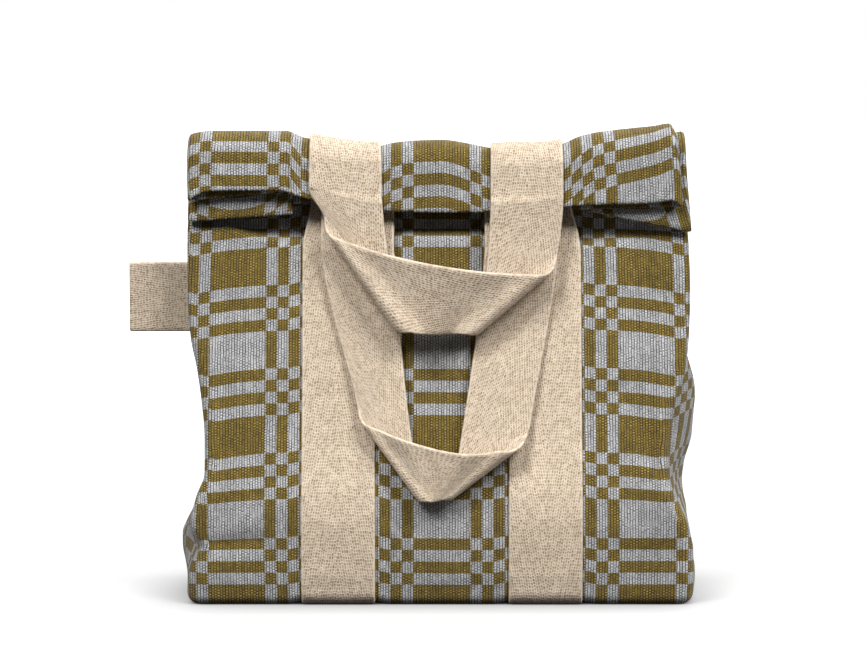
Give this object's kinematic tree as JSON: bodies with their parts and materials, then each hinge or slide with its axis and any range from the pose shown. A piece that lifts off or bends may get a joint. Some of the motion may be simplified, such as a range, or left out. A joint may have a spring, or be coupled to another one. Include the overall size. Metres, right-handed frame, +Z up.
{
  "type": "shopping bag",
  "caption": "Soft fold-over shopping bag of block-woven cloth with flat webbing handles, inward gussets and a side tab, standing with its mouth folded forward.",
  "frame": {"origin": "middle of the flat underside of the base, where the bag rests", "axes": "+X to the bag's right as seen from the front, +Y from the front to the back, +Z up"},
  "size_m": [0.4057, 0.1754, 0.3352],
  "materials": {
    "cloth": "matt, ribbed block weave in mustard, dark grey-brown and pale grey",
    "webbing": "matt, natural linen twill webbing"
  },
  "bodies": {
    "root": {"front_panel": "cloth", "back_panel": "cloth", "front_strap": "webbing", "back_strap": "webbing", "side_tab": "webbing"}
  },
  "joints": []
}
